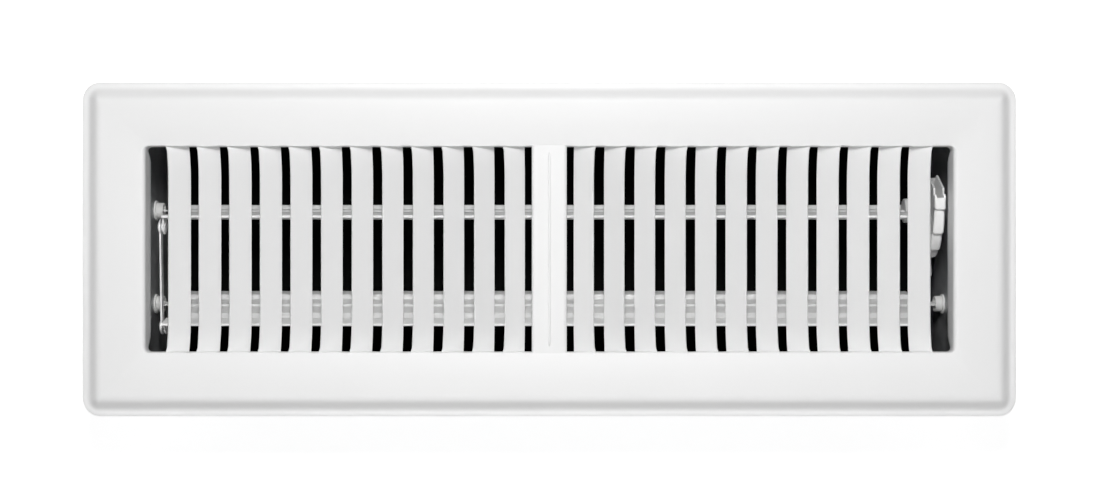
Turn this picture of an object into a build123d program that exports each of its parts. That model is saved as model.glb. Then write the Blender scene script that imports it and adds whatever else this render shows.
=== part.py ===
"""Floor register: a stamped louvre face on a folded damper box with two linked damper blades."""

import os
from math import atan2, cos, degrees, hypot, pi, radians, sin, tan

from build123d import *

# Millimetres and degrees. X runs along the register, +Y is its rear, and Z = 0 is the box's bottom rim.

# Face plate
face_sheet = 0.8
face_rise = 4.5
end_border = 27.3
side_border = 26.9
face_corner = 7.6
lip_width = 3.6
ramp_run = 5.6
ramp_steps = 4
opening_width = 87.8
opening_corner = 2.0
edge_roll = 2.0
end_flange_drop = 11.6
end_flange_taper = 5.5
side_lip_drop = 5.0
seam_overlap = 1.5

# Louvre fins and centre bar
fins_per_side = 12
fin_pitch = 12.94
fin_run = 7.95
fin_high_drop = 1.0
fin_deep_drop = 7.4
fin_root_high_drop = 0.6
fin_root_deep_drop = 5.0
fin_root_high_shift = 0.9
fin_root_deep_shift = 0.5
fin_turn = 15.0
fin_turn_shares = (0.0, 0.28, 0.62, 1.0)
bar_width = 14.8
bar_gap = 3.0
bar_lip_drop = 2.2
rib_width = 1.3
rib_height = 0.6
rib_end_gap = 3.0
finger_slot = 9.95

# Damper box
box_sheet = 0.7
box_bend = 1.0
box_end_margin = 4.35
box_side_margin = 3.7
box_flange = 7.0
flange_end_gap = 4.0
corner_tab = 12.0
tab_relief = 4.0

# Damper blades
blade_sheet = 0.6
blade_bend = 1.0
blade_upper = 29.0
blade_lower = 22.0
blade_wall_gap = 1.4
blade_fin_gap = 1.3
rim_gap = 1.5
blade_left_gap = 9.0
blade_right_gap = 12.0
rear_tilt = 4.25
front_tilt = 14.3
foot_set = 0.6
bead_depth = 2.0
bead_low = 13.0
bead_crest = 8.0
bead_high = 6.2
step_depth = 0.8
step_low = 1.2
step_high = 2.4
dish_depth = 2.0
dish_low = 12.5
dish_high = 20.0
hem_height = 4.6

# Pivots, bushes and link
pivot_radius = 2.5
pivot_play = 0.06
tongue_reach = 1.4
tongue_root = 4.0
bush_wall = 0.95
bush_nose = 4.0
bush_flange = 0.8
bush_flange_thick = 0.9
bush_catch = 0.6
bush_catch_thick = 0.8
rear_lug_radius = 24.5
rear_lug_angle = 18.0
front_lug_radius = 22.5
front_lug_angle = 24.0
ear_radius = 3.2
link_sheet = 0.8
link_height = 4.0
link_eye = 3.4
link_spacer = 0.9
link_side_play = 0.12
open_pivot_play = 0.55
rivet_radius = 1.25
rivet_head = 2.0
rivet_head_thick = 0.45
shoulder_radius = 2.0

# Thumb lever: its ridges step down from the rim, each between two angles from straight up towards the front
lever_width = 4.8
lever_fin_gap = 4.1
lever_rim = 29.4
lever_ridge = 1.95
lever_ridge_angles = (-12.5, 0.8, 23.8, 45.0, 63.0, 84.0)
lever_horn_angle = 98.0
lever_back_height = 26.3
lever_back_reach = 9.1
lever_bulge_height = 14.7
lever_bulge_reach = 15.1
lever_foot_height = 2.0
lever_foot_reach = 9.0
lever_wall = 0.9
pocket_front = 4.9
pocket_floor = 12.0
pocket_low = 7.0
hub_radius = 5.3
hub_reach = 7.4
hub_grip = 0.05
shoulder_play = 0.25

fin_first = bar_width / 2 + bar_gap + fin_run
opening_half_x = fin_first + (fins_per_side - 1) * fin_pitch + finger_slot
opening_half_y = opening_width / 2
face_length = 2 * (opening_half_x + end_border)
face_width = opening_width + 2 * side_border
pivot_z = blade_lower + rim_gap
face_top = pivot_z + blade_upper + blade_fin_gap + fin_deep_drop + face_sheet
floor_z = face_top - face_rise
face_under = face_top - face_sheet
box_half_x = opening_half_x + box_end_margin
box_half_y = opening_half_y + box_side_margin
rear_y = box_half_y - blade_wall_gap - blade_upper
front_y = -(box_half_y - blade_wall_gap - blade_lower)
blade_left = -(box_half_x - blade_left_gap)
blade_right = box_half_x - blade_right_gap
lever_left = fin_first + (fins_per_side - 1) * fin_pitch + lever_fin_gap
lever_right = lever_left + lever_width
bush_radius = pivot_radius + pivot_play + bush_wall
link_right = blade_left - link_spacer
link_left = link_right - link_sheet


def plate(length, width, corner, z):
    return Pos(0, 0, z) * RectangleRounded(length, width, corner)


def folded_sheet(points, thickness, bend):
    """A strip of even thickness along a line of points, with round bends of that middle radius."""
    left, right = [], []
    for i, (x, y) in enumerate(points):
        into = points[i - 1] if i else None
        out = points[i + 1] if i + 1 < len(points) else None
        if into is None or out is None:
            a, b = (points[0], points[1]) if into is None else (points[-2], points[-1])
            reach = hypot(b[0] - a[0], b[1] - a[1])
            nx, ny = -(b[1] - a[1]) / reach, (b[0] - a[0]) / reach
            left.append((x + nx * thickness / 2, y + ny * thickness / 2))
            right.append((x - nx * thickness / 2, y - ny * thickness / 2))
            continue
        before = atan2(y - into[1], x - into[0])
        after = atan2(out[1] - y, out[0] - x)
        turn = (after - before + pi) % (2 * pi) - pi
        side = 1 if turn > 0 else -1
        tangent = bend * tan(abs(turn) / 2)
        start = (x - tangent * cos(before), y - tangent * sin(before))
        centre = (start[0] - side * bend * sin(before), start[1] + side * bend * cos(before))
        for line, offset in ((left, thickness / 2), (right, -thickness / 2)):
            radius = bend - side * offset
            arc = []
            for share in (0, 0.5, 1):
                heading = before + turn * share - side * pi / 2
                arc.append((centre[0] + radius * cos(heading), centre[1] + radius * sin(heading)))
            line.append(arc)
    edges = []

    def run(line):
        at = line[0]
        for item in line[1:]:
            arc = isinstance(item, list)
            start = item[0] if arc else item
            if hypot(start[0] - at[0], start[1] - at[1]) > 1e-6:
                edges.append(Edge.make_line(at, start))
            if arc:
                edges.append(Edge.make_three_point_arc(*item))
            at = item[2] if arc else item

    run(left)
    edges.append(Edge.make_line(left[-1], right[-1]))
    run([item[::-1] if isinstance(item, list) else item for item in right[::-1]])
    edges.append(Edge.make_line(right[0], left[0]))
    return Face(Wire(edges))


def along_x(face, x0, x1):
    """Extrudes a face drawn in Y and Z from x0 to x1."""
    return extrude(Plane((x0, 0, 0), x_dir=(0, 1, 0), z_dir=(1, 0, 0)) * face, x1 - x0, dir=(1, 0, 0))


def along_y(face, y0, y1):
    """Extrudes a face drawn in X and Z from y0 to y1."""
    return extrude(Plane((0, y0, 0), x_dir=(1, 0, 0), z_dir=(0, -1, 0)) * face, y1 - y0, dir=(0, 1, 0))


def rod(radius, x0, x1, y=0.0, z=0.0):
    return along_x(Pos(y, z) * Circle(radius), x0, x1)


def face_pan():
    """The raised border: a flat lip on the floor and a rounded ramp up to the flat top."""
    outer, inner = [], []
    for step in range(ramp_steps + 1):
        turn = radians(90 * step / ramp_steps)
        inset = lip_width + ramp_run * (1 - cos(turn))
        for rows, extra, rise in ((outer, 0, face_rise), (inner, face_sheet, face_rise - face_sheet)):
            rows.append(plate(
                face_length - 2 * (inset + extra),
                face_width - 2 * (inset + extra),
                max(face_corner - inset - extra, face_sheet),
                floor_z + rise * sin(turn),
            ))
    lip = extrude(plate(face_length, face_width, face_corner, floor_z), face_sheet)
    hollow = loft(inner, ruled=True)
    well = extrude(inner[0], -face_sheet)
    pan = lip + loft(outer, ruled=True) - hollow - well
    reach = 2 * (edge_roll + seam_overlap)
    hole = plate(2 * opening_half_x + reach, opening_width + reach, opening_corner + reach / 2, floor_z)
    return pan - extrude(hole, 2 * face_rise)


def rolled_edge():
    """The edge of the opening, rolled down all round and longest at the two ends."""
    reach = 2 * (edge_roll + seam_overlap)
    low = face_top - end_flange_drop
    outline = plate(2 * opening_half_x + reach, opening_width + reach, opening_corner + reach / 2, low)
    opening = plate(2 * opening_half_x, opening_width, opening_corner, low)
    skin = extrude(outline - opening, end_flange_drop)
    skin = fillet(skin.faces().sort_by(Axis.Z)[-1].inner_wires()[0].edges(), edge_roll)
    wide = plate(2 * opening_half_x + 2 * reach, opening_width + 2 * reach, opening_corner + reach, low)
    wall = 2 * face_sheet
    inside = plate(2 * opening_half_x + wall, opening_width + wall, opening_corner + face_sheet, low)
    void = extrude(wide - inside, end_flange_drop - face_sheet)
    rim = void.faces().sort_by(Axis.Z)[-1].inner_wires()[0].edges()
    ring = skin - fillet(rim, edge_roll - face_sheet)
    lip_z = face_top - side_lip_drop
    trim = Pos(0, 0, low) * Box(
        2 * (opening_half_x - opening_corner),
        2 * face_width,
        2 * (lip_z - low),
    )
    ring = ring - trim
    for side in (1, -1):
        corner = Polygon(
            (side * (opening_half_y - end_flange_taper), low - end_flange_drop),
            (side * face_width, low - end_flange_drop),
            (side * face_width, lip_z),
            (side * opening_half_y, lip_z),
            (side * (opening_half_y - end_flange_taper), low),
            align=None,
        )
        ring = ring - along_x(corner, -face_length, face_length)
    return ring


def fin(high_x):
    """One louvre fin: high along its outer edge, deep along its inner edge, turned down from each end."""
    root_y = opening_half_y + 0.75 * face_sheet
    stations = [(-root_y + fin_turn * share, share) for share in fin_turn_shares]
    stations += [(-y, share) for y, share in stations[::-1]]
    sections = []
    for y, share in stations:
        ease = 1 - (1 - share) ** 2
        high = fin_root_high_drop + (fin_high_drop - fin_root_high_drop) * ease
        deep = fin_root_deep_drop + (fin_deep_drop - fin_root_deep_drop) * ease
        high_at = high_x + fin_root_high_shift * (1 - ease)
        deep_at = high_x - fin_run + fin_root_deep_shift * (1 - ease)
        slope = atan2(deep - high, high_at - deep_at)
        thick_x = face_sheet * sin(slope)
        thick_z = face_sheet * cos(slope)
        corners = (
            (high_at, y, face_top - high),
            (deep_at, y, face_top - deep),
            (deep_at + thick_x, y, face_top - deep - thick_z),
            (high_at + thick_x, y, face_top - high - thick_z),
        )
        sections.append(Wire.make_polygon(corners, close=True))
    return Solid.make_loft(sections, ruled=True)


def centre_bar():
    """The flat bar between the two halves, with turned edges and a raised rib."""
    length = opening_width + 2 * (edge_roll + seam_overlap / 2)
    bar = Pos(0, 0, face_top - face_sheet / 2) * Box(bar_width, length, face_sheet)
    for side in (1, -1):
        at = Pos(side * (bar_width - face_sheet) / 2, 0, face_top - bar_lip_drop / 2)
        bar = bar + at * Box(face_sheet, opening_width + face_sheet, bar_lip_drop)
    rib = Plane((0, 0, face_under)) * SlotOverall(opening_width - 2 * rib_end_gap, rib_width, rotation=90)
    rib = extrude(rib, face_sheet + rib_height)
    return bar + chamfer(rib.edges().group_by(Axis.Z)[-1], rib_width / 4)


def face_plate():
    right = [fin(fin_first + index * fin_pitch) for index in range(fins_per_side)]
    left = [mirror(one, about=Plane.YZ) for one in right]
    return face_pan() + rolled_edge() + [centre_bar(), *right, *left]


def side_panel(side):
    """A side of the box, with its top edge turned out under the face."""
    wall = side * (box_half_y + box_sheet / 2)
    high = face_under - box_sheet / 2
    profile = folded_sheet([(wall, 0), (wall, high), (wall + side * box_flange, high)], box_sheet, box_bend)
    return along_x(profile, box_bend - box_half_x, box_half_x - box_bend)


def end_panel(side):
    """An end of the box, with corner tabs over the side panels and two holes for the bushes."""
    wall = side * (box_half_x + box_sheet / 2)
    tab = box_half_y + 1.5 * box_sheet
    inner = wall - side * corner_tab
    channel = folded_sheet([(inner, -tab), (wall, -tab), (wall, tab), (inner, tab)], box_sheet, box_bend)
    panel = extrude(channel, face_under - tab_relief, dir=(0, 0, 1))
    high = face_under - box_sheet / 2
    low = face_under - 2 * tab_relief
    flange = folded_sheet([(wall, low), (wall, high), (wall + side * box_flange, high)], box_sheet, box_bend)
    panel = panel + along_y(flange, flange_end_gap - box_half_y, box_half_y - flange_end_gap)
    for y in (rear_y, front_y):
        panel = panel - rod(bush_radius, wall - box_sheet, wall + box_sheet, y, pivot_z)
    return panel


def pivot_bush(side, y):
    """A snap-in bush: a flange and a nose inside the end panel and a catch outside it."""
    inside = box_half_x
    outside = box_half_x + box_sheet
    bush = rod(bush_radius, inside - bush_nose, outside + bush_catch_thick)
    bush = bush + rod(bush_radius + bush_flange, inside - bush_flange_thick, inside)
    bush = bush + rod(bush_radius + bush_catch, outside, outside + bush_catch_thick)
    bush = bush - rod(pivot_radius + pivot_play, inside - 2 * bush_nose, outside + 2 * bush_catch_thick)
    if side < 0:
        bush = mirror(bush, about=Plane.YZ)
    return Pos(0, y, pivot_z) * bush


def blade_profile(thickness):
    """The upright section of a blade about its pivot: foot, bead, small step and shallow dish."""
    dish_mid = dish_high - (dish_high - dish_low) / 6
    points = [
        (-foot_set, -blade_lower),
        (0, -bead_low),
        (bead_depth, -bead_crest),
        (0, -bead_high),
        (0, step_low),
        (-step_depth, step_high),
        (-step_depth, dish_low),
        (-step_depth - dish_depth, dish_mid),
        (-step_depth, dish_high),
        (-step_depth, blade_upper - hem_height / 2),
    ]
    return folded_sheet(points, thickness, blade_bend)


def blade(left, right, lug, right_tongue):
    """An upright blade on its pivot axis, with flat tongues in the bushes and an ear for the link."""
    hem = Pos(-step_depth - blade_sheet / 2, blade_upper - hem_height / 2)
    hem = hem * RectangleRounded(2 * blade_sheet, hem_height, 0.8 * blade_sheet)
    body = along_x(blade_profile(blade_sheet), left, right) + along_x(hem, left, right)
    reach = box_half_x + box_sheet + tongue_reach
    tongues = [(-reach, left + tongue_root)]
    if right_tongue:
        tongues.append((right - tongue_root, reach))
    for x0, x1 in tongues:
        flat = Pos((x0 + x1) / 2, 0, 0) * Box(x1 - x0, blade_sheet, 4 * pivot_radius)
        body = body + (flat & rod(pivot_radius, x0, x1))
    ear = Pos((lug[0] - step_depth) / 2, lug[1]) * Rectangle(abs(lug[0]) - step_depth, 2 * ear_radius)
    ear = ear + Pos(*lug) * Circle(ear_radius) - Pos(*lug) * Circle(rivet_radius)
    return body + along_x(ear, left, left + blade_sheet)


def lug_place(radius, angle):
    """A lug at that radius and that angle from straight up, towards the front."""
    return (-radius * sin(radians(angle)), radius * cos(radians(angle)))


def stand(shape, y, tilt):
    """Leans an upright piece towards the front and sets it on its pivot."""
    return Pos(0, y, pivot_z) * Rot(X=tilt) * shape


def link_rivet(y, z):
    """A shouldered rivet through a blade's ear, with room for the link under its outer head."""
    ear_right = blade_left + blade_sheet
    head_right = link_left - link_side_play
    rivet = rod(rivet_radius, head_right, ear_right, y, z)
    rivet = rivet + rod(rivet_head, ear_right, ear_right + rivet_head_thick, y, z)
    rivet = rivet + rod(shoulder_radius, link_right + link_side_play, blade_left, y, z)
    return rivet + rod(rivet_head, head_right - rivet_head_thick, head_right, y, z)


def link_strip(rear, front):
    """The strip between the two lugs: a running fit at the rear and a loose eye at the front."""
    span = hypot(rear[0] - front[0], rear[1] - front[1])
    lean = degrees(atan2(rear[1] - front[1], rear[0] - front[0]))
    middle = Pos((rear[0] + front[0]) / 2, (rear[1] + front[1]) / 2)
    strip = middle * Rot(Z=lean) * Rectangle(span, link_height)
    strip = strip + Pos(*rear) * Circle(link_eye) + Pos(*front) * Circle(link_eye)
    strip = strip - Pos(*rear) * Circle(rivet_radius + pivot_play)
    strip = strip - Pos(*front) * Circle(rivet_radius + open_pivot_play)
    return along_x(strip, link_left, link_right)


def lever_step(radius, start, end):
    """A wedge of the lever's rim, in Y and Z about the pivot."""
    def rim(angle):
        return (-radius * sin(radians(angle)), radius * cos(radians(angle)))

    arc = Edge.make_three_point_arc(rim(start), rim((start + end) / 2), rim(end))
    return Face(Wire([Edge.make_line((0, 0), rim(start)), arc, Edge.make_line(rim(end), (0, 0))]))


def thumb_lever():
    """The moulded lever: stepped rim, open pocket behind it, split hub on the blade and a journal."""
    body = along_x(Circle(hub_radius), lever_left, lever_right)
    for step, start in enumerate(lever_ridge_angles[:-1]):
        ridge = lever_step(lever_rim - step * lever_ridge, start, lever_ridge_angles[step + 1])
        body = body + along_x(ridge, lever_left, lever_right)
    horn = lever_step(lever_rim, lever_ridge_angles[-1], lever_horn_angle)
    back = Polygon(
        (0, 0),
        (lever_foot_reach, lever_foot_height),
        (lever_bulge_reach, lever_bulge_height),
        (lever_back_reach, lever_back_height),
        (0, lever_back_height),
        align=None,
    )
    body = body + along_x(horn, lever_left, lever_right) + along_x(back, lever_left, lever_right)
    pocket = Polygon(
        (pocket_front, pocket_floor),
        (lever_foot_reach, pocket_low),
        (lever_bulge_reach + lever_wall, lever_bulge_height),
        (lever_back_reach + lever_wall, lever_back_height + lever_wall),
        (pocket_front, lever_rim),
        align=None,
    )
    body = body - along_x(pocket, lever_left + lever_wall, lever_right - lever_wall)
    slot = Rot(X=rear_tilt) * along_x(
        blade_profile(blade_sheet + 2 * hub_grip),
        lever_left - 2 * hub_reach,
        blade_right + hub_grip,
    )
    hub = rod(hub_radius, lever_left - hub_reach, lever_left) - slot
    journal = rod(pivot_radius, lever_right, box_half_x + box_sheet + tongue_reach)
    shoulder = rod(bush_radius, lever_right, box_half_x - bush_nose - shoulder_play)
    return body + hub + journal + shoulder


def world(lug, y):
    return (y + lug[0], pivot_z + lug[1])


rear_lug = lug_place(rear_lug_radius, rear_lug_angle)
front_lug = lug_place(front_lug_radius, front_lug_angle)
rear_ear = lug_place(rear_lug_radius, rear_lug_angle - rear_tilt)
front_ear = lug_place(front_lug_radius, front_lug_angle - front_tilt)
rear_blade = blade(blade_left, blade_right, rear_ear, False)
front_blade = blade(blade_left, blade_right, front_ear, True)

nodes = {
    "face_plate": face_plate(),
    "side_panel_front": side_panel(-1),
    "side_panel_rear": side_panel(1),
    "end_panel_left": end_panel(-1),
    "end_panel_right": end_panel(1),
    "pivot_bush_front_left": pivot_bush(-1, front_y),
    "pivot_bush_front_right": pivot_bush(1, front_y),
    "pivot_bush_rear_left": pivot_bush(-1, rear_y),
    "pivot_bush_rear_right": pivot_bush(1, rear_y),
    "damper_blade_rear": stand(rear_blade, rear_y, rear_tilt),
    "damper_blade_front": stand(front_blade, front_y, front_tilt),
    "thumb_lever": stand(thumb_lever(), rear_y, 0),
    "link_strip": link_strip(world(rear_lug, rear_y), world(front_lug, front_y)),
    "link_rivet_rear": link_rivet(*world(rear_lug, rear_y)),
    "link_rivet_front": link_rivet(*world(front_lug, front_y)),
}

os.makedirs("parts", exist_ok=True)
for name, shape in nodes.items():
    export_step(shape, f"parts/{name}.step")
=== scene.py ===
"""A louvred floor register: its formed face, damper box, blades and lever, their finishes and a studio."""

import math

import bmesh
import bpy
from bpy.props import FloatProperty, FloatVectorProperty, IntProperty, PointerProperty
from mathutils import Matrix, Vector


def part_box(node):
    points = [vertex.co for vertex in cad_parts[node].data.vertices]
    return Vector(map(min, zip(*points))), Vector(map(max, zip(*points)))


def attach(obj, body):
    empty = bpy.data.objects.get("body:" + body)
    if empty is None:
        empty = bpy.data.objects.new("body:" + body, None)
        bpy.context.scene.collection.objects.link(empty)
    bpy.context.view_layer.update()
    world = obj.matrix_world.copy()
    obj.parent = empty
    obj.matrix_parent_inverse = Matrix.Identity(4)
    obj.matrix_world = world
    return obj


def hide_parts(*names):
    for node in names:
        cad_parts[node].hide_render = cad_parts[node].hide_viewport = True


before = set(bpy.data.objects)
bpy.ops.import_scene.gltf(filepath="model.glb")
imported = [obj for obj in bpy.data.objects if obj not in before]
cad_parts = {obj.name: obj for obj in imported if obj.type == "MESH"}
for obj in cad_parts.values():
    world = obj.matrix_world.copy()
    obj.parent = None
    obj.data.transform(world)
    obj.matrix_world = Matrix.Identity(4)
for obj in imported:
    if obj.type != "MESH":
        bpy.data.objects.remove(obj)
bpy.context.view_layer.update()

bl_info = {
    "name": "Floor register",
    "version": (1, 0, 0),
    "blender": (4, 5, 0),
    "location": "3D View > Sidebar > Register",
    "description": "Forms and finishes a louvred floor register over its solids and sets up its studio",
    "category": "Object",
}

MM = 0.001
FACE_LOW, FACE_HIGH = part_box("face_plate")
BOX_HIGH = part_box("end_panel_right")[1]


def length(name, millimetres, description):
    """A length that a user may change, in metres, with its default given in millimetres."""
    return FloatProperty(name=name, description=description, default=millimetres * MM, min=0.0,
                         precision=5, unit="LENGTH")


def shift(name, millimetres, description):
    """A place along an axis that a user may change, in metres, with its default given in millimetres."""
    return FloatProperty(name=name, description=description, default=millimetres * MM,
                         precision=5, unit="LENGTH")


def power(name, watts, description):
    """The power of a lamp that a user may change."""
    return FloatProperty(name=name, description=description, default=watts, unit="POWER")


def amount(name, value, description):
    """A plain number that a user may change."""
    return FloatProperty(name=name, description=description, default=value)


def colour(name, value, description):
    """A colour that a user may change."""
    return FloatVectorProperty(name=name, description=description, default=value, min=0.0, max=1.0,
                               size=3, subtype="COLOR")


class FaceSizes(bpy.types.PropertyGroup):
    """Sizes of the stamped border and the rolled edge of its opening."""

    sheet: length("Sheet", 0.8, "Thickness of the face's sheet")
    rise: length("Rise", 4.5, "Height of the flat top above the floor")
    lip: length("Lip", 3.6, "Width of the flat lip that lies on the floor")
    ramp: length("Ramp", 5.6, "Width of the rounded ramp between the lip and the flat top")
    corner: length("Corner", 7.6, "Radius of the outer corners")
    end_border: length("End border", 27.3, "Width of the border at the two ends")
    side_border: length("Side border", 26.9, "Width of the border at the two sides")
    opening_corner: length("Opening corner", 2.0, "Radius of the opening's corners")
    roll: length("Edge roll", 2.0, "Radius of the edge rolled down into the opening at its ends")
    side_roll: length("Side roll", 0.5, "How far the rolled edge reaches in from the opening's long sides")
    end_drop: length("End flange", 11.6, "Depth of the flange at each end of the opening")
    end_taper: length("Flange taper", 5.5, "Length over which the end flange narrows to the sides")
    side_drop: length("Side lip", 5.0, "Depth of the lip at each side of the opening")
    side_reach: length("Side reach", 0.5, "How far the long sides' edge stands into the opening")


class LouvreSizes(bpy.types.PropertyGroup):
    """Sizes of the louvre fins and the centre bar."""

    count: IntProperty(name="Fins", description="Fins on each side of the centre bar", default=12, min=1)
    pitch: length("Pitch", 12.94, "Distance from one fin to the next")
    run: length("Run", 7.95, "Width of a fin seen from above")
    high: length("High edge", 1.0, "Drop of a fin's outer edge below the face")
    deep: length("Deep edge", 7.4, "Drop of a fin's inner edge below the face")
    root_high: length("Root high edge", 0.4, "Drop of the outer edge where the fin leaves the border")
    root_deep: length("Root deep edge", 5.0, "Drop of the inner edge where the fin leaves the border")
    root_high_shift: length("Root outer shift", 0.6, "How far the outer edge swings out at the border")
    root_deep_shift: length("Root inner shift", 0.1, "How far the inner edge swings out at the border")
    root_flare: length("Root flare", 0.8, "Fillet beside the outer edge where the fin leaves the border")
    flare_run: length("Flare run", 2.2, "How far that fillet reaches into the opening")
    root_fillet: length("Root fillet", 1.0, "Inside radius where a fin turns out of the rolled edge")
    turn: length("Turn", 15.0, "Length over which a fin turns down from the border")
    bar: length("Centre bar", 14.8, "Width of the bar between the two halves")
    bar_gap: length("Bar gap", 3.0, "Gap between the centre bar and the fins beside it")
    bar_drop: length("Bar edge", 2.2, "Depth of the centre bar's turned edges")
    bar_round: length("Bar round", 1.3, "Radius of the centre bar's edges")
    rib: length("Rib width", 1.3, "Width of the raised rib on the centre bar")
    rib_height: length("Rib height", 0.6, "Height of the raised rib")
    rib_gap: length("Rib end gap", 3.0, "Distance from the rib's ends to the opening's sides")


class DamperSizes(bpy.types.PropertyGroup):
    """Sizes of the small details on the damper box, its blades and its lever."""

    sheet_edge: length("Sheet edge", 0.12, "How far the cut edges of the sheet parts are eased")
    lever_edge: length("Lever edge", 0.3, "Radius on the moulded lever's edges")
    lever_round: length("Lever round", 1.1, "Radius on the ridges of the lever's rim")
    lever_rim: length("Lever rim", 20.0, "Distance from the lever's pivot beyond which its edges are rounder")
    lever_pocket: length("Lever pocket", 5.0, "Distance behind the pivot beyond which they aren't")
    bush_edge: length("Bush edge", 0.18, "Radius on the bushes' edges")
    flange: length("Box flange", 7.0, "How far the box's top flange stands out from its end panels")
    weld_radius: length("Weld radius", 2.1, "Radius of a spot weld's mark")
    weld_height: length("Weld height", 0.1, "How far a spot weld's rim stands out")
    weld_low: length("Lowest weld", 9.0, "Height of the lowest weld on a corner tab")
    weld_pitch: length("Weld pitch", 19.0, "Distance between the welds on a corner tab")
    weld_inset: length("Weld inset", 7.2, "Distance of the welds from the box's end")
    welds: IntProperty(name="Welds", description="Spot welds on each corner tab", default=3, min=1)


class FinishColours(bpy.types.PropertyGroup):
    """Colours of the register's finishes."""

    paint: colour("Powder coat", (0.86, 0.86, 0.86), "White powder coat of the face")
    zinc_light: colour("Zinc, light grain", (0.46, 0.47, 0.48), "Light grains of the galvanised sheet")
    zinc_dark: colour("Zinc, dark grain", (0.34, 0.35, 0.36), "Dark grains of the galvanised sheet")
    blade: colour("Blade paint", (0.9, 0.9, 0.895), "Thin white paint of the blades")
    plated: colour("Plated steel", (0.82, 0.82, 0.825), "Zinc plating of the link and its rivets")
    lever: colour("Lever", (0.84, 0.84, 0.835), "White plastic of the thumb lever")
    bush: colour("Bush", (0.78, 0.78, 0.765), "Natural plastic of the bushes")


class StudioSettings(bpy.types.PropertyGroup):
    """Camera, light and floor of the studio."""

    camera_height: length("Camera height", 715.0, "Height of the camera above the face")
    frame_width: length("Frame width", 463.6, "Width of the picture at the face")
    camera_x: shift("Camera X", 0.1, "Camera's place along the register")
    camera_y: shift("Camera Y", -0.3, "Camera's place across the register")
    ambient: amount("Ambient", 0.05, "Level of the even light from all round")
    left: power("Left", 1.5, "Power of the softbox on the left")
    right: power("Right", 1.3, "Power of the softbox on the right")
    rear: power("Rear", 4.5, "Power of the softbox behind")
    front: power("Front", 5.2, "Power of the softbox in front")
    floor: colour("Floor", (0.8, 0.8, 0.8), "Pale floor of the studio")
    floor_lift: amount("Floor lift", 0.72, "Light that the floor adds to the picture")
    # These three place the black sheet of painted duct shade that lies on the floor inside the box.
    shade_sheet_end: length("Duct mouth end", 7.2, "How far the duct's dark mouth ends inside the box's flange")
    shade_sheet_side: length("Duct mouth side", 1.1, "How far its sides lie inside the box's corner tabs")
    shade_sheet_height: length("Duct mouth height", 0.4, "Height of the dark mouth above the floor")


GROUPS = {
    "register_face": FaceSizes,
    "register_louvres": LouvreSizes,
    "register_damper": DamperSizes,
    "register_colours": FinishColours,
    "register_studio": StudioSettings,
}

# Places of a Mix node's sockets, because several of them share a name.
MIX_FACTOR = 0
MIX_VECTORS = (4, 5)
MIXED_VECTOR = 1
MIX_COLOURS = (6, 7)
MIXED_COLOUR = 2


def opaque(rgb, level=1.0):
    """A colour at that level, with its alpha."""
    return tuple(channel * level for channel in rgb) + (1.0,)


class Value:
    """An output of a shader tree: arithmetic on it adds Math nodes to the tree."""

    def __init__(self, tree, socket):
        self.tree = tree
        self.socket = socket

    def maths(self, operation, first, second):
        """Adds a Math node and gives its output."""
        return self.tree.node("ShaderNodeMath", {"operation": operation}, {0: first, 1: second})

    def __add__(self, other):
        return self.maths("ADD", self, other)

    def __radd__(self, other):
        return self.maths("ADD", other, self)

    def __mul__(self, other):
        return self.maths("MULTIPLY", self, other)

    def __rmul__(self, other):
        return self.maths("MULTIPLY", other, self)


class ShaderTree:
    """A shader tree that is filled one node at a time."""

    def __init__(self, tree):
        self.tree = tree
        tree.nodes.clear()

    def node(self, kind, settings=None, sockets=None, output=0):
        """Adds a node, sets it up, fills or links its sockets and gives one of its outputs."""
        made = self.tree.nodes.new(kind)
        for key, value in (settings or {}).items():
            setattr(made, key, value)
        for key, value in (sockets or {}).items():
            if isinstance(value, Value):
                self.tree.links.new(value.socket, made.inputs[key])
            else:
                made.inputs[key].default_value = value
        return Value(self, made.outputs[output])

    def place(self, stretch=(1.0, 1.0, 1.0)):
        """The piece's own coordinates, stretched."""
        at = self.node("ShaderNodeTexCoord", output="Object")
        return self.node("ShaderNodeMapping", sockets={"Vector": at, "Scale": stretch})

    def noise(self, scale, detail=2.0, stretch=(1.0, 1.0, 1.0), output="Fac"):
        """Soft noise over the piece."""
        return self.node("ShaderNodeTexNoise", sockets={
            "Vector": self.place(stretch), "Scale": scale, "Detail": detail}, output=output)

    def mix(self, share, first, second):
        """A colour between two others."""
        one, two = MIX_COLOURS
        return self.node("ShaderNodeMix", {"data_type": "RGBA"}, {
            MIX_FACTOR: share, one: first, two: second}, output=MIXED_COLOUR)

    def tones(self, share, rgb, low, high):
        """A colour that varies between two levels of itself."""
        return self.mix(share, opaque(rgb, low), opaque(rgb, high))

    def between(self, share, first, second):
        """A place between two others."""
        one, two = MIX_VECTORS
        return self.node("ShaderNodeMix", {"data_type": "VECTOR"}, {
            MIX_FACTOR: share, one: first, two: second}, output=MIXED_VECTOR)

    def bump(self, height, distance, strength):
        """A normal that follows a height."""
        return self.node("ShaderNodeBump", sockets={
            "Height": height, "Distance": distance, "Strength": strength})

    def end(self, shader, kind="ShaderNodeOutputMaterial"):
        """Ends the tree in that shader."""
        out = self.tree.nodes.new(kind)
        self.tree.links.new(shader.socket, out.inputs["Surface"])


def finish(name, make):
    """The material of that name, made the first time it is asked for."""
    material = bpy.data.materials.get(name)
    if material is None:
        material = bpy.data.materials.new(name)
        material.use_nodes = True
        tree = ShaderTree(material.node_tree)
        sockets = make(tree, bpy.context.scene.register_colours)
        tree.end(tree.node("ShaderNodeBsdfPrincipled", sockets=sockets))
    return material


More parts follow.
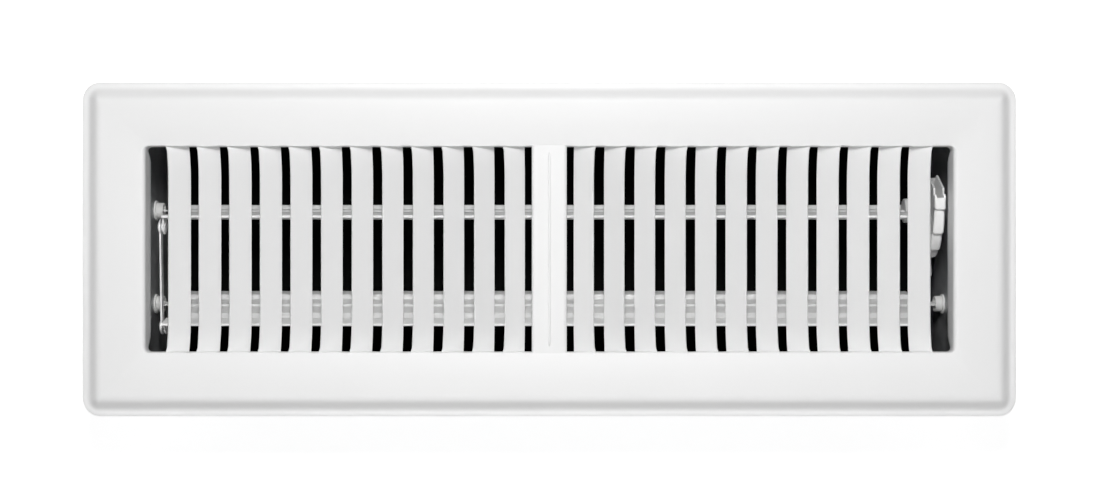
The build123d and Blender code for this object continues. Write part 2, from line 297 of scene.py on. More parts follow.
def powder_coat(tree, colours):
    """Semi-gloss powder coat: a fine peel, and a slow drift of tone and gloss."""
    drift = tree.noise(scale=28.0)
    peel = tree.noise(scale=820.0, detail=1.0) * 0.75 + tree.noise(scale=2600.0) * 0.25
    return {
        "Base Color": tree.tones(drift, colours.paint, low=0.985, high=1.012),
        "Roughness": 0.45 + drift * 0.06 + peel * 0.05,
        "IOR": 1.5,
        "Normal": tree.bump(peel, distance=0.04 * MM, strength=0.35),
    }


def galvanised_sheet(tree, colours):
    """Bare galvanised sheet: a spangle of zinc grains, each with its own tone and gloss."""
    warp = tree.noise(scale=160.0, output="Color")
    at = tree.between(0.006, tree.place(), warp)
    grain = tree.node("ShaderNodeTexVoronoi", sockets={"Vector": at, "Scale": 150.0}, output="Color")
    tone = tree.node("ShaderNodeSeparateColor", sockets={0: grain})
    haze = tree.noise(scale=900.0, detail=3.0)
    spangle = tone * 0.8 + haze * 0.2
    return {
        "Base Color": tree.mix(spangle, opaque(colours.zinc_dark), opaque(colours.zinc_light)),
        "Metallic": 0.8,
        "Roughness": 0.4 + tone * 0.14 + haze * 0.06,
        "Normal": tree.bump(tone * 0.6 + haze * 0.4, distance=0.02 * MM, strength=0.4),
    }


def blade_paint(tree, colours):
    """Thin satin paint: it follows the rolled streaks of the sheet, which change its tone and gloss."""
    streak = tree.noise(scale=60.0, detail=3.0, stretch=(0.12, 6.0, 6.0))
    speckle = tree.noise(scale=1100.0)
    return {
        "Base Color": tree.tones(streak * 0.7 + speckle * 0.3, colours.blade, low=0.965, high=1.02),
        "Roughness": 0.42 + streak * 0.12,
        "IOR": 1.5,
        "Normal": tree.bump(streak * 0.8 + speckle * 0.2, distance=0.03 * MM, strength=0.25),
    }


def plated_steel(tree, colours):
    """Bright zinc plating over brushed steel."""
    brush = tree.noise(scale=240.0, detail=3.0, stretch=(1.0, 0.3, 4.0))
    return {
        "Base Color": tree.tones(brush, colours.plated, low=0.9, high=1.05),
        "Metallic": 0.4,
        "Roughness": 0.34 + brush * 0.14,
        "Normal": tree.bump(brush, distance=0.02 * MM, strength=0.3),
    }


def lever_plastic(tree, colours):
    """Moulded white plastic with a soft spark-eroded grain."""
    grain = tree.noise(scale=3200.0)
    drift = tree.noise(scale=90.0)
    return {
        "Base Color": tree.tones(drift, colours.lever, low=0.97, high=1.02),
        "Roughness": 0.34 + drift * 0.08 + grain * 0.06,
        "IOR": 1.49,
        "Normal": tree.bump(grain, distance=0.02 * MM, strength=0.4),
    }


def bush_plastic(tree, colours):
    """Natural nylon: slightly warm and dull."""
    drift = tree.noise(scale=260.0, detail=3.0)
    return {
        "Base Color": tree.tones(drift, colours.bush, low=0.94, high=1.03),
        "Roughness": 0.42 + drift * 0.12,
        "IOR": 1.53,
        "Normal": tree.bump(drift, distance=0.02 * MM, strength=0.3),
    }


def linked(name, data):
    """A new object in the scene."""
    made = bpy.data.objects.new(name, data)
    bpy.context.scene.collection.objects.link(made)
    return made


def piece(name, mesh, material, body, slot, *nodes):
    """Links a finished mesh as a piece that rides on a body and stands for solids of the frame."""
    mesh.materials.clear()
    mesh.materials.append(material)
    made = linked(name, mesh)
    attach(made, body)
    if nodes:
        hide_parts(*nodes)
    return made


def smooth(mesh, degrees):
    """Shades a mesh smooth, apart from edges sharper than that angle."""
    mesh.shade_smooth()
    mesh.set_sharp_from_angle(angle=math.radians(degrees))
    return mesh


def plain_mesh(name, bm):
    """The faces as a plain mesh of that name."""
    mesh = bpy.data.meshes.new(name)
    bm.to_mesh(mesh)
    bm.free()
    return mesh


def settled(holder):
    """The plain mesh that an object's modifiers give. The object goes, and its first mesh with it."""
    made = bpy.data.meshes.new_from_object(holder.evaluated_get(bpy.context.evaluated_depsgraph_get()))
    first = holder.data
    holder.modifiers.clear()
    bpy.data.objects.remove(holder)
    bpy.data.meshes.remove(first)
    return made


def swept(name, rows, closed=True, capped=False):
    """A mesh through rows of points: each row is a closed ring, and the last row may join the first."""
    bm = bmesh.new()
    made = [[bm.verts.new(point) for point in row] for row in rows]
    for index in range(len(made) if closed else len(made) - 1):
        one, two = made[index], made[(index + 1) % len(made)]
        for k in range(len(one)):
            j = (k + 1) % len(one)
            bm.faces.new((one[k], one[j], two[j], two[k]))
    if capped:
        bm.faces.new(made[0][::-1])
        bm.faces.new(made[-1])
    bmesh.ops.recalc_face_normals(bm, faces=bm.faces)
    return plain_mesh(name, bm)


def joined(name, meshes):
    """One mesh from several."""
    bm = bmesh.new()
    for mesh in meshes:
        bm.from_mesh(mesh)
        bpy.data.meshes.remove(mesh)
    return plain_mesh(name, bm)


def patterned(name, mesh, tree, values):
    """Runs a pattern over a mesh and gives the result as a plain mesh."""
    base = linked(name, mesh)
    modifier = base.modifiers.new(tree.name, "NODES")
    modifier.node_group = tree
    for item in tree.interface.items_tree:
        if item.in_out == "INPUT" and item.name in values:
            modifier[item.identifier] = values[item.name]
    return settled(base)


class PatternTree:
    """A Geometry Nodes tree with named inputs, filled one node at a time."""

    def __init__(self, name, inputs):
        self.tree = bpy.data.node_groups.new(name, "GeometryNodeTree")
        for label, kind in {"Geometry": "NodeSocketGeometry", **inputs}.items():
            self.tree.interface.new_socket(label, in_out="INPUT", socket_type=kind)
        self.tree.interface.new_socket("Geometry", in_out="OUTPUT", socket_type="NodeSocketGeometry")
        self.given = self.tree.nodes.new("NodeGroupInput").outputs

    def node(self, kind, settings=None, sockets=None):
        """Adds a node, sets it up, fills or links its sockets and gives its first output."""
        made = self.tree.nodes.new(kind)
        for key, value in (settings or {}).items():
            setattr(made, key, value)
        for key, value in (sockets or {}).items():
            for one in value if isinstance(value, list) else [value]:
                if isinstance(one, bpy.types.NodeSocket):
                    self.tree.links.new(one, made.inputs[key])
                else:
                    made.inputs[key].default_value = one
        return made.outputs[0]

    def vector(self, **parts):
        """A vector from inputs of the tree, named for each of its parts."""
        sockets = {part: self.given[label] for part, label in parts.items()}
        return self.node("ShaderNodeCombineXYZ", sockets=sockets)

    def row(self, count, start, step):
        """The given geometry repeated along a line."""
        line = self.node("GeometryNodeMeshLine", {"mode": "OFFSET"}, {
            "Count": self.given[count], "Start Location": start, "Offset": step})
        copies = self.node("GeometryNodeInstanceOnPoints", sockets={
            "Points": line, "Instance": self.given["Geometry"]})
        return self.node("GeometryNodeRealizeInstances", sockets={0: copies})

    def both_sides(self, geometry, mirror):
        """The geometry and its mirror image, facing outwards."""
        image = self.node("GeometryNodeTransform", sockets={"Geometry": geometry, "Scale": mirror})
        image = self.node("GeometryNodeFlipFaces", sockets={"Mesh": image})
        return self.node("GeometryNodeJoinGeometry", sockets={0: [geometry, image]})

    def end(self, geometry):
        """Realizes the geometry, gives it its material and ends the tree."""
        geometry = self.node("GeometryNodeRealizeInstances", sockets={0: geometry})
        geometry = self.node("GeometryNodeSetMaterial", sockets={
            "Geometry": geometry, "Material": self.given["Material"]})
        out = self.tree.nodes.new("NodeGroupOutput")
        self.tree.links.new(geometry, out.inputs[0])
        return self.tree


MIRROR_X = (-1.0, 1.0, 1.0)
MIRROR_Y = (1.0, -1.0, 1.0)


def louvre_pattern():
    """Repeats one fin outwards from the centre bar, on both sides of it."""
    tree = PatternTree("Louvre pattern", {
        "Fins": "NodeSocketInt",
        "First": "NodeSocketFloat",
        "Pitch": "NodeSocketFloat",
        "Material": "NodeSocketMaterial",
    })
    fins = tree.row("Fins", tree.vector(X="First"), tree.vector(X="Pitch"))
    return tree.end(tree.both_sides(fins, MIRROR_X))


def weld_pattern():
    """Repeats one weld mark up a corner tab, and mirrors the row to the four corners of the box."""
    tree = PatternTree("Weld pattern", {
        "Welds": "NodeSocketInt",
        "Along": "NodeSocketFloat",
        "Across": "NodeSocketFloat",
        "Low": "NodeSocketFloat",
        "Pitch": "NodeSocketFloat",
        "Material": "NodeSocketMaterial",
    })
    welds = tree.row("Welds", tree.vector(X="Along", Y="Across", Z="Low"), tree.vector(Z="Pitch"))
    return tree.end(tree.both_sides(tree.both_sides(welds, MIRROR_X), MIRROR_Y))


def arc(steps, degrees=90.0):
    """The angles of an arc in equal steps, from nothing to that many degrees."""
    return [math.radians(degrees * step / steps) for step in range(steps + 1)]


def outline(half_x, half_y, corner, arc_steps=9, long_steps=60, short_steps=40):
    """Points round a rounded rectangle, as many for every size, so that rows of them join up."""
    corners = ((1, 1), (-1, 1), (-1, -1), (1, -1))
    arcs = []
    for turn, (side_x, side_y) in enumerate(corners):
        centre = Vector((side_x * (half_x - corner), side_y * (half_y - corner)))
        arcs.append([])
        for step in range(arc_steps + 1):
            angle = math.radians(90 * (turn + step / arc_steps))
            arcs[-1].append(centre + corner * Vector((math.cos(angle), math.sin(angle))))
    points = []
    for turn, points_of_arc in enumerate(arcs):
        points += points_of_arc
        start, end = points_of_arc[-1], arcs[(turn + 1) % 4][0]
        steps = short_steps if turn % 2 else long_steps
        points += [start.lerp(end, step / steps) for step in range(1, steps)]
    return points


# The lip's cut edge in shares of the sheet: how far in and how high each of its points lies.
CUT_EDGE = ((0.15, 0.0), (0.0375, 0.075), (0.0, 0.25), (0.0, 0.75), (0.075, 0.925), (0.25, 1.0))
# How far other cut edges are eased, as a share of the sheet.
EDGE_EASE = 0.2
# Shares of the lip's width: where it is still flat, and where it starts to rise to the ramp.
LIP_FLAT = 0.4
RISE_START = 0.55
# The eased rise meets the ramp's round at this angle, and the round goes on through these, in degrees.
RISE_END = 68
RISE_STEPS = 8
RAMP_ANGLES = (73, 79, 85, 90)
# Steps of the rolled edge and of its underside and the ramp's, and rows down the flange and up its back.
ROLL_STEPS = 8
UNDER_ROLL_STEPS = 6
UNDER_RAMP_STEPS = 9
FLANGE_DOWN = (0.35, 0.7, 0.96)
FLANGE_UP = (0.96, 0.5, 0.0)


def border_mesh(face, top):
    """The border as one closed sheet: lip, ramp, flat top, rolled edge and flanges, and its underside."""
    half_x = (FACE_HIGH.x - FACE_LOW.x) / 2
    half_y = (FACE_HIGH.y - FACE_LOW.y) / 2
    open_x = half_x - face.end_border
    open_y = half_y - face.side_border
    floor = top - face.rise
    sheet = face.sheet
    rows = []

    def outer(inset, rise):
        """Adds a row inside the outer edge, at that height above the floor."""
        corner = max(face.corner - inset, sheet)
        rows.append([(p.x, p.y, floor + rise) for p in outline(half_x - inset, half_y - inset, corner)])

    def flange_end(x, y):
        """How deep the flange reaches at that point of the opening's edge."""
        share = (abs(y) - open_y + face.end_taper) / face.end_taper
        share = 1.0 if abs(x) < open_x - face.opening_corner else min(max(share, 0.0), 1.0)
        return face.end_drop + (face.side_drop - face.end_drop) * share

    def inner(offset, drop, share=0.0, under_sheet=False):
        """Adds a row round the opening, at that drop or at a share of the way on to the flange's end."""
        row = []
        across = (offset if under_sheet else offset * face.side_roll / face.roll) - face.side_reach
        for p, edge in zip(outline(open_x + offset, open_y + across, face.opening_corner + offset),
                           outline(open_x, open_y, face.opening_corner)):
            row.append((p.x, p.y, top - drop - share * (flange_end(*edge) - drop)))
        rows.append(row)

    for inset, rise in CUT_EDGE:
        outer(inset * sheet, rise * sheet)
    outer(LIP_FLAT * face.lip, sheet)
    meet = math.radians(RISE_END)
    begin = RISE_START * face.lip
    reach = face.lip + face.ramp * (1 - math.cos(meet)) - begin
    climb = face.rise * math.sin(meet) - sheet
    slope = face.rise * math.cos(meet) / (face.ramp * math.sin(meet))
    for step in range(RISE_STEPS + 1):
        t = step / RISE_STEPS
        rise = (3 * t ** 2 - 2 * t ** 3) * climb + (t ** 3 - t ** 2) * reach * slope
        outer(begin + t * reach, sheet + rise)
    for angle in RAMP_ANGLES:
        turn = math.radians(angle)
        outer(face.lip + face.ramp * (1 - math.cos(turn)), face.rise * math.sin(turn))
    for turn in arc(ROLL_STEPS):
        inner(face.roll * (1 - math.sin(turn)), face.roll * (1 - math.cos(turn)))
    for share in FLANGE_DOWN:
        inner(0.0, face.roll, share)
    for share in (EDGE_EASE, 1 - EDGE_EASE):
        inner(share * sheet, face.roll, 1.0, under_sheet=True)
    for share in FLANGE_UP:
        inner(sheet, face.roll, share, under_sheet=True)
    under = face.roll - sheet
    for turn in arc(UNDER_ROLL_STEPS)[-2::-1]:
        inner(sheet + under * (1 - math.sin(turn)), sheet + under * (1 - math.cos(turn)), under_sheet=True)
    for turn in arc(UNDER_RAMP_STEPS)[::-1]:
        outer(face.lip + sheet + face.ramp * (1 - math.cos(turn)), (face.rise - sheet) * math.sin(turn))
    return swept("border", rows)


# How far the fins are let into the border, and how far they sink there.
FIN_LET_IN = 0.6 * MM
FIN_SINK = 0.06 * MM
# The same for the rows at an end of the centre bar, and then shares of its half length with a row more.
BAR_ENDS = ((0.6 * MM, 0.04 * MM), (0.2 * MM, 0.01 * MM), (-0.2 * MM, 0.0))
BAR_ROWS = (0.6, 0.2)
BAR_ROUND_STEPS = 6
BAR_INSIDE_STEPS = 4
# Shares of the rib's half length that have a row. It tapers over the last of it, to a small tip.
RIB_ROWS = (0.0, 0.5, 0.965, 0.985, 0.996, 1.0)
RIB_TAPER = 0.035
RIB_TIP = 0.12
RIB_STEPS = 8


def bar_mesh(face, louvres, top, half_opening):
    """The centre bar with its turned edges, let into the border at both ends."""
    half = louvres.bar / 2
    sheet = face.sheet
    drop = louvres.bar_drop
    bend = louvres.bar_round
    inside = max(bend - sheet, EDGE_EASE * sheet)
    section = []
    for turn in arc(BAR_ROUND_STEPS):
        section.append((half - bend + bend * math.sin(turn), -bend + bend * math.cos(turn)))
    section.append((half, -drop + EDGE_EASE * sheet))
    section.append((half - EDGE_EASE * sheet, -drop))
    section.append((half - (1 - EDGE_EASE) * sheet, -drop))
    section.append((half - sheet, -drop + EDGE_EASE * sheet))
    for turn in arc(BAR_INSIDE_STEPS)[::-1]:
        section.append((half - sheet - inside + inside * math.sin(turn),
                        -sheet - inside + inside * math.cos(turn)))
    section += [(-x, z) for x, z in section[::-1]]
    reach = half_opening + face.side_roll - face.side_reach
    stations = [(reach + past, sink) for past, sink in BAR_ENDS]
    stations += [(share * reach, 0.0) for share in BAR_ROWS]
    stations += [(-y, sink) for y, sink in stations[::-1]]
    rows = [[(x, y, top + z - sink) for x, z in section] for y, sink in stations]
    return swept("bar", rows, closed=False, capped=True)


def rib_mesh(face, louvres, top, half_opening):
    """The raised rib along the centre bar, with rounded ends."""
    end = half_opening - louvres.rib_gap
    base = top - face.sheet / 2
    rows = []
    for share in [-share for share in RIB_ROWS[:0:-1]] + list(RIB_ROWS):
        size = min(1.0, RIB_TIP + math.sqrt(max(1 - abs(share), 0.0) / RIB_TAPER))
        half = louvres.rib / 2 * size
        y = share * end
        row = []
        for turn in arc(RIB_STEPS, 180.0):
            row.append((half * math.cos(turn), y, top + louvres.rib_height * size * math.sin(turn)))
        rows.append(row + [(-half, y, base), (half, y, base)])
    return swept("rib", rows, closed=False, capped=True)


# Shares of a fin's width that have a column, from its outer to its inner edge.
FIN_COLUMNS = (0.0, 0.03, 0.25, 0.5, 0.75, 0.97, 1.0)
# Shares of the fin's turn, and of the straight run after it, that have a row.
FIN_TURN_ROWS = (0.05, 0.11, 0.18, 0.27, 0.37, 0.48, 0.6, 0.73, 0.86, 1.0)
FIN_RUN_ROWS = (0.66, 0.33)
ROOT_STEPS = 16
# A fin's roll is this many times the border's and lies this share of it higher, so that it covers it.
ROOT_COVER = 1.06
ROOT_LIFT = 0.02
# A fin's cut edges: radius as a share of the sheet, its steps, and the least turn rounded, in degrees.
FIN_EDGE = 0.48
FIN_EDGE_STEPS = 5
FIN_EDGE_ANGLE = 60


def fin_rows(face, louvres, half_opening):
    """Half a fin as rows of X, Y and drop: it turns out of the rolled edge, drops, and runs across."""
    roll = face.side_roll * ROOT_COVER
    fillet = louvres.root_fillet
    start = half_opening + face.side_roll - face.side_reach
    turned = half_opening - louvres.turn

    def root(drop, share):
        """A point on the bend from the border down to that drop: round over, straight, round back."""
        bend = roll + fillet
        turn = math.acos(max(1 - drop / bend, 0.0))
        straight = max(drop - bend, 0.0)
        at = share * (turn * bend + straight)
        if at <= turn * roll:
            angle = at / roll
            return start - roll * math.sin(angle), roll * (1 - math.cos(angle))
        at -= turn * roll
        y = start - roll * math.sin(turn)
        low = roll * (1 - math.cos(turn))
        if at <= straight:
            return y, low + at
        angle = turn - (at - straight) / fillet
        return (y - fillet * (math.sin(turn) - math.sin(angle)),
                low + straight + fillet * (math.cos(angle) - math.cos(turn)))

    def flare(u, y):
        """How far the fillet beside the outer edge widens the fin there."""
        share = min(max(1 - (start - y) / (face.side_roll + louvres.flare_run), 0.0), 1.0)
        return louvres.root_flare * share ** 2 * (1 - u) ** 3

    def swing(u):
        """How far out the root lies from the fin's straight run."""
        return louvres.root_high_shift * (1 - u) + louvres.root_deep_shift * u

    rows = []
    for step in range(ROOT_STEPS + 1):
        row = []
        for u in FIN_COLUMNS:
            depth = louvres.root_high + (louvres.root_deep - louvres.root_high) * u
            y, drop = root(depth, step / ROOT_STEPS)
            row.append((swing(u) - u * louvres.run + flare(u, y), y, drop - ROOT_LIFT * face.side_roll))
        rows.append(row)
    rows.insert(0, [(x, start + FIN_LET_IN, FIN_SINK) for x, y, drop in rows[0]])
    root_end = rows[-1]
    for share in FIN_TURN_ROWS:
        ease = 1 - (1 - share) ** 2
        row = []
        for u, (_, y, drop) in zip(FIN_COLUMNS, root_end):
            last = louvres.high + (louvres.deep - louvres.high) * u
            y += (turned - y) * share
            x = (1 - ease) * swing(u) - u * louvres.run + flare(u, y)
            row.append((x, y, drop + (last - drop) * ease))
        rows.append(row)
    for share in FIN_RUN_ROWS:
        rows.append([(x, turned * share, drop) for x, y, drop in rows[-1]])
    return rows


def fin_mesh(face, louvres, top, half_opening):
    """One fin of bent sheet with rounded edges, its high edge at X = 0."""
    half = fin_rows(face, louvres, half_opening)
    rows = half + [[(x, -y, drop) for x, y, drop in row] for row in half[::-1]]
    bm = bmesh.new()
    grid = [[bm.verts.new((x, y, top - drop)) for x, y, drop in row] for row in rows]
    for one, two in zip(grid, grid[1:]):
        for k in range(len(FIN_COLUMNS) - 1):
            bm.faces.new((one[k], one[k + 1], two[k + 1], two[k]))
    bmesh.ops.recalc_face_normals(bm, faces=bm.faces)
    bm.faces.ensure_lookup_table()
    if bm.faces[len(bm.faces) // 2].normal.z < 0:
        bmesh.ops.reverse_faces(bm, faces=bm.faces)
    fin = linked("fin", plain_mesh("fin", bm))
    wall = fin.modifiers.new("Sheet", "SOLIDIFY")
    wall.thickness = face.sheet
    wall.offset = -1.0
    wall.use_even_offset = True
    edge = fin.modifiers.new("Edge", "BEVEL")
    edge.width = FIN_EDGE * face.sheet
    edge.segments = FIN_EDGE_STEPS
    edge.limit_method = "ANGLE"
    edge.angle_limit = math.radians(FIN_EDGE_ANGLE)
    return settled(fin)


# In the eased copies, points closer than this become one, and so do faces that turn by fewer degrees.
SAME_POINT = 0.002 * MM
SAME_FACE = 0.5
# Edges that turn by more degrees than this are eased, and the rounder ones have this many steps.
SHARP_EDGE = 30
ROUND_STEPS = 5
# Edges sharper than these angles stay sharp in the shading, in degrees.
EASED_SHADING = 50
FACE_SHADING = 55
WELD_SHADING = 60


def eased_copy(node, edge, segments=2, rounder=0.0, chosen=None):
    """A copy of a solid's mesh with clean faces, its sharp edges eased and the chosen outer ones rounder."""
    bm = bmesh.new()
    bm.from_mesh(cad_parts[node].data)
    bmesh.ops.remove_doubles(bm, verts=bm.verts, dist=SAME_POINT)
    bmesh.ops.dissolve_limit(bm, angle_limit=math.radians(SAME_FACE), verts=bm.verts, edges=bm.edges)

    def ease(offset, steps, test):
        """Rounds the sharp edges that pass the test."""
        least = math.radians(SHARP_EDGE)
        sharp = [e for e in bm.edges if len(e.link_faces) == 2 and e.calc_face_angle() > least]
        bmesh.ops.bevel(bm, geom=[e for e in sharp if test(e)], offset=offset, offset_type="OFFSET",
                        segments=steps, profile=0.5, affect="EDGES", clamp_overlap=False)

    if chosen:
        ease(rounder, ROUND_STEPS,
             lambda e: e.calc_face_angle_signed() > 0 and chosen(*[v.co for v in e.verts]))
        ease(edge, segments, lambda e: not chosen(*[v.co for v in e.verts]))
    else:
        ease(edge, segments, lambda e: True)
    mesh = plain_mesh(node + "_eased", bm)
    if "custom_normal" in mesh.attributes:
        mesh.attributes.remove(mesh.attributes["custom_normal"])
    return smooth(mesh, EASED_SHADING)


def eased_piece(node, edge, make, name, body, slot, **more):
    """Replaces a solid by its eased copy in that finish."""
    made = piece(node + "_piece", eased_copy(node, edge, **more), finish(name, make), body, slot, node)
    normals = made.modifiers.new("Flat faces", "WEIGHTED_NORMAL")
    normals.keep_sharp = True


class FormFace(bpy.types.Operator):
    """Form the face: border, centre bar and louvre fins"""

    bl_idname = "floor_register.form_face"
    bl_label = "Face"

    def execute(self, context):
        face = context.scene.register_face
        louvres = context.scene.register_louvres
        top = FACE_HIGH.z - louvres.rib_height
        half_opening = (FACE_HIGH.y - FACE_LOW.y) / 2 - face.side_border
        paint = finish("face_paint_coat", powder_coat)
        fins = patterned("fins", fin_mesh(face, louvres, top, half_opening), louvre_pattern(), {
            "Fins": louvres.count,
            "First": louvres.bar / 2 + louvres.bar_gap + louvres.run,
            "Pitch": louvres.pitch,
            "Material": paint,
        })
        mesh = joined("face", [
            border_mesh(face, top),
            bar_mesh(face, louvres, top, half_opening),
            rib_mesh(face, louvres, top, half_opening),
            fins,
        ])
        piece("face", smooth(mesh, FACE_SHADING), paint, "frame", "face_paint", "face_plate")
        return {"FINISHED"}


# Rings of a spot weld's mark, as shares of its radius and height, and the sides of a ring.
WELD_RINGS = ((1.0, -0.5), (0.92, 0.6), (0.8, 1.0), (0.6, 0.35), (0.3, 0.15))
WELD_SIDES = 14


def weld_mesh(radius, height):
    """One spot weld's mark: a low rim round a dimple, facing +Y."""
    ring = arc(WELD_SIDES, 360.0)[:-1]
    rows = []
    for share, rise in WELD_RINGS:
        rows.append([(share * radius * math.cos(turn), rise * height, share * radius * math.sin(turn))
                     for turn in ring])
    return swept("weld", rows, closed=False, capped=True)


class FormBox(bpy.types.Operator):
    """Form the damper box: side panels, end panels and the weld marks that hold them"""

    bl_idname = "floor_register.form_box"
    bl_label = "Damper box"

    def execute(self, context):
        sizes = context.scene.register_damper
        for node in ("side_panel_front", "side_panel_rear", "end_panel_left", "end_panel_right"):
            eased_piece(node, sizes.sheet_edge, galvanised_sheet, "galvanised_box", "frame",
                        "galvanised_sheet")
        zinc = finish("galvanised_box", galvanised_sheet)
        welds = patterned("welds", weld_mesh(sizes.weld_radius, sizes.weld_height), weld_pattern(), {
            "Welds": sizes.welds,
            "Along": BOX_HIGH.x - sizes.flange - sizes.weld_inset,
            "Across": BOX_HIGH.y,
            "Low": sizes.weld_low,
            "Pitch": sizes.weld_pitch,
            "Material": zinc,
        })
        piece("weld_marks", smooth(welds, WELD_SHADING), zinc, "frame", "galvanised_sheet")
        return {"FINISHED"}


class FormBlades(bpy.types.Operator):
    """Form the two damper blades"""

    bl_idname = "floor_register.form_blades"
    bl_label = "Damper blades"

    def execute(self, context):
        edge = context.scene.register_damper.sheet_edge
        for node, body in (("damper_blade_rear", "rear_damper"), ("damper_blade_front", "front_damper")):
            eased_piece(node, edge, blade_paint, "blade_white", body, "blade_sheet")
        return {"FINISHED"}


class FormLever(bpy.types.Operator):
    """Form the moulded thumb lever"""

    bl_idname = "floor_register.form_lever"
    bl_label = "Thumb lever"

    def execute(self, context):
        sizes = context.scene.register_damper
        low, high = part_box("pivot_bush_rear_right")
        pivot = (low + high) / 2

        def on_rim(*ends):
            """Whether an edge lies on the ridged rim that a thumb pushes."""
            return all(math.hypot(end.y - pivot.y, end.z - pivot.z) > sizes.lever_rim
                       and end.y - pivot.y < sizes.lever_pocket for end in ends)

        eased_piece("thumb_lever", sizes.lever_edge, lever_plastic, "lever_white", "rear_damper",
                    "lever_plastic", segments=3, rounder=sizes.lever_round, chosen=on_rim)
        return {"FINISHED"}


class FormLink(bpy.types.Operator):
    """Form the link strip and its rivets"""

    bl_idname = "floor_register.form_link"
    bl_label = "Link and rivets"

    def execute(self, context):
        edge = context.scene.register_damper.sheet_edge
        for node, body in (("link_strip", "link"), ("link_rivet_rear", "rear_damper"),
                           ("link_rivet_front", "front_damper")):
            eased_piece(node, edge, plated_steel, "plated_link", body, "link_steel")
        return {"FINISHED"}


class FormBushes(bpy.types.Operator):
    """Form the four pivot bushes"""

    bl_idname = "floor_register.form_bushes"
    bl_label = "Pivot bushes"

    def execute(self, context):
        edge = context.scene.register_damper.bush_edge
        for place in ("front_left", "front_right", "rear_left", "rear_right"):
            eased_piece("pivot_bush_" + place, edge, bush_plastic, "bush_nylon", "frame", "bush_plastic")
        return {"FINISHED"}


# The floor's half width, and the places, widths and depths of the softboxes, in metres.
FLOOR_HALF = 3.0
SIDE_LAMP = (0.85, 0.6, 1.0)
SIDE_LAMP_SIZE = (0.8, 0.8)
FRONT_LAMP = (0.0, -0.8, 1.15)
FRONT_LAMP_SIZE = (1.2, 0.6)
# The rear softbox hangs level with the camera, at this Y, and points at this Y of the face.
REAR_LAMP_Y = 0.3
REAR_LAMP_AIM = -0.35
REAR_LAMP_SIZE = (0.06, 0.2)
WHITE = (1.0, 1.0, 1.0)
# Painted shade: near-black colour of the sheet that stands in for the unlit depth of a duct under the
# register.
DUCT_SHADE_BLACK = (0.004, 0.004, 0.004)
# Width of the camera's sensor in millimetres, and the nearest distance that it shows.
SENSOR = 36.0
NEAREST = 10.0 * MM


def stage_sheet(name, half_x, half_y, height, make):
    """A flat sheet of the studio with that shader."""
    corners = [(x, y, height) for y in (-half_y, half_y) for x in (-half_x, half_x)]
    mesh = bpy.data.meshes.new(name)
    mesh.from_pydata(corners, [], [(0, 1, 3, 2)])
    made = linked(name, mesh)
    material = bpy.data.materials.new(name)
    material.use_nodes = True
    tree = ShaderTree(material.node_tree)
    tree.end(make(tree))
    mesh.materials.append(material)


def seen(tree):
    """One on the rays that show the surroundings: straight, in a gloss, or through glass."""
    path = tree.node("ShaderNodeLightPath", output="Is Camera Ray")
    outputs = path.socket.node.outputs
    return path + Value(tree, outputs["Is Glossy Ray"]) + Value(tree, outputs["Is Transmission Ray"])


def softbox(name, place, target, size, watts):
    """A soft rectangular lamp that faces a point."""
    lamp = bpy.data.lights.new(name, "AREA")
    lamp.shape = "RECTANGLE"
    lamp.size, lamp.size_y = size
    lamp.energy = watts
    made = linked(name, lamp)
    made.location = place
    made.rotation_euler = (Vector(target) - Vector(place)).to_track_quat("-Z", "Y").to_euler()


def studio_world(studio):
    """A world that shows white and sheds a little even light."""
    world = bpy.data.worlds.new("studio")
    world.use_nodes = True
    tree = ShaderTree(world.node_tree)
    white = opaque(WHITE)
    soft = tree.node("ShaderNodeBackground", sockets={"Strength": studio.ambient, "Color": white})
    bright = tree.node("ShaderNodeBackground", sockets={"Strength": 1.0, "Color": white})
    sky = tree.node("ShaderNodeMixShader", sockets={0: seen(tree), 1: soft, 2: bright})
    tree.end(sky, "ShaderNodeOutputWorld")
    return world


def studio_camera(studio, top):
    """A camera that looks straight down on the face."""
    camera = bpy.data.cameras.new("camera")
    camera.sensor_fit = "HORIZONTAL"
    camera.sensor_width = SENSOR
    camera.lens = SENSOR * studio.camera_height / studio.frame_width
    camera.clip_start = NEAREST
    made = linked("camera", camera)
    made.location = (studio.camera_x, studio.camera_y, top + studio.camera_height)
    return made


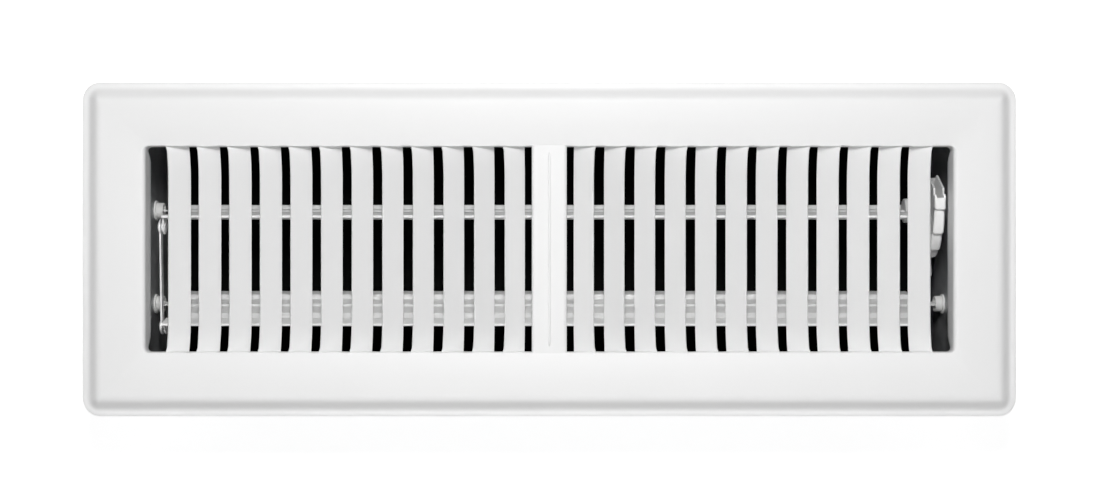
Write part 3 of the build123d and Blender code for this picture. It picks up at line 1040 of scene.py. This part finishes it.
class SetStage(bpy.types.Operator):
    """Set the studio: floor, a black sheet of painted shade at the duct mouth inside the box, soft light,
    white surroundings and the camera
    """

    bl_idname = "floor_register.set_stage"
    bl_label = "Studio"

    def execute(self, context):
        scene = context.scene
        studio = scene.register_studio
        scene.view_settings.view_transform = "Standard"

        def floor(tree):
            """A pale floor that keeps shadows and is lifted towards white in the picture."""
            base = tree.node("ShaderNodeBsdfDiffuse", sockets={"Color": opaque(studio.floor)})
            lift = tree.node("ShaderNodeEmission", sockets={"Strength": seen(tree) * studio.floor_lift})
            return tree.node("ShaderNodeAddShader", sockets={0: base, 1: lift})

        def painted_duct_shade(tree):
            """Painted shade: a black diffuse sheet that stands in for the unlit depth of a duct."""
            return tree.node("ShaderNodeBsdfDiffuse", sockets={"Color": opaque(DUCT_SHADE_BLACK)})

        stage_sheet("floor", FLOOR_HALF, FLOOR_HALF, 0.0, floor)
        # Painted shade: a black sheet on the floor inside the box, where the unlit duct would be.
        stage_sheet("duct_shade_sheet", BOX_HIGH.x - studio.shade_sheet_end, BOX_HIGH.y - studio.shade_sheet_side,
                    studio.shade_sheet_height, painted_duct_shade)
        scene.world = studio_world(studio)

        middle = (0.0, 0.0, FACE_HIGH.z)
        side_x, side_y, side_z = SIDE_LAMP
        softbox("left", (-side_x, side_y, side_z), middle, SIDE_LAMP_SIZE, studio.left)
        softbox("right", SIDE_LAMP, middle, SIDE_LAMP_SIZE, studio.right)
        softbox("rear", (0.0, REAR_LAMP_Y, FACE_HIGH.z + studio.camera_height),
                (0.0, REAR_LAMP_AIM, FACE_HIGH.z), REAR_LAMP_SIZE, studio.rear)
        softbox("front", FRONT_LAMP, middle, FRONT_LAMP_SIZE, studio.front)
        scene.camera = studio_camera(studio, FACE_HIGH.z - scene.register_louvres.rib_height)
        return {"FINISHED"}


OPERATORS = (FormFace, FormBox, FormBlades, FormLever, FormLink, FormBushes, SetStage)


class RegisterPanel(bpy.types.Panel):
    """Lists the register's steps and sizes"""

    bl_idname = "VIEW3D_PT_floor_register"
    bl_label = "Floor register"
    bl_space_type = "VIEW_3D"
    bl_region_type = "UI"
    bl_category = "Register"

    def draw(self, context):
        for operator in OPERATORS:
            self.layout.operator(operator.bl_idname)
        for group in GROUPS:
            box = self.layout.box()
            settings = getattr(context.scene, group)
            for key in settings.__annotations__:
                box.prop(settings, key)


CLASSES = (*GROUPS.values(), *OPERATORS, RegisterPanel)


def register():
    """Registers the classes and gives the scene its settings."""
    for one in CLASSES:
        bpy.utils.register_class(one)
    for name, group in GROUPS.items():
        setattr(bpy.types.Scene, name, PointerProperty(type=group))


def unregister():
    """Takes the settings and the classes away again."""
    for name in GROUPS:
        delattr(bpy.types.Scene, name)
    for one in reversed(CLASSES):
        bpy.utils.unregister_class(one)


def main():
    """Builds the register and its studio."""
    register()
    bpy.ops.floor_register.form_face()
    bpy.ops.floor_register.form_box()
    bpy.ops.floor_register.form_blades()
    bpy.ops.floor_register.form_lever()
    bpy.ops.floor_register.form_link()
    bpy.ops.floor_register.form_bushes()
    bpy.ops.floor_register.set_stage()


if __name__ == "__main__":
    main()
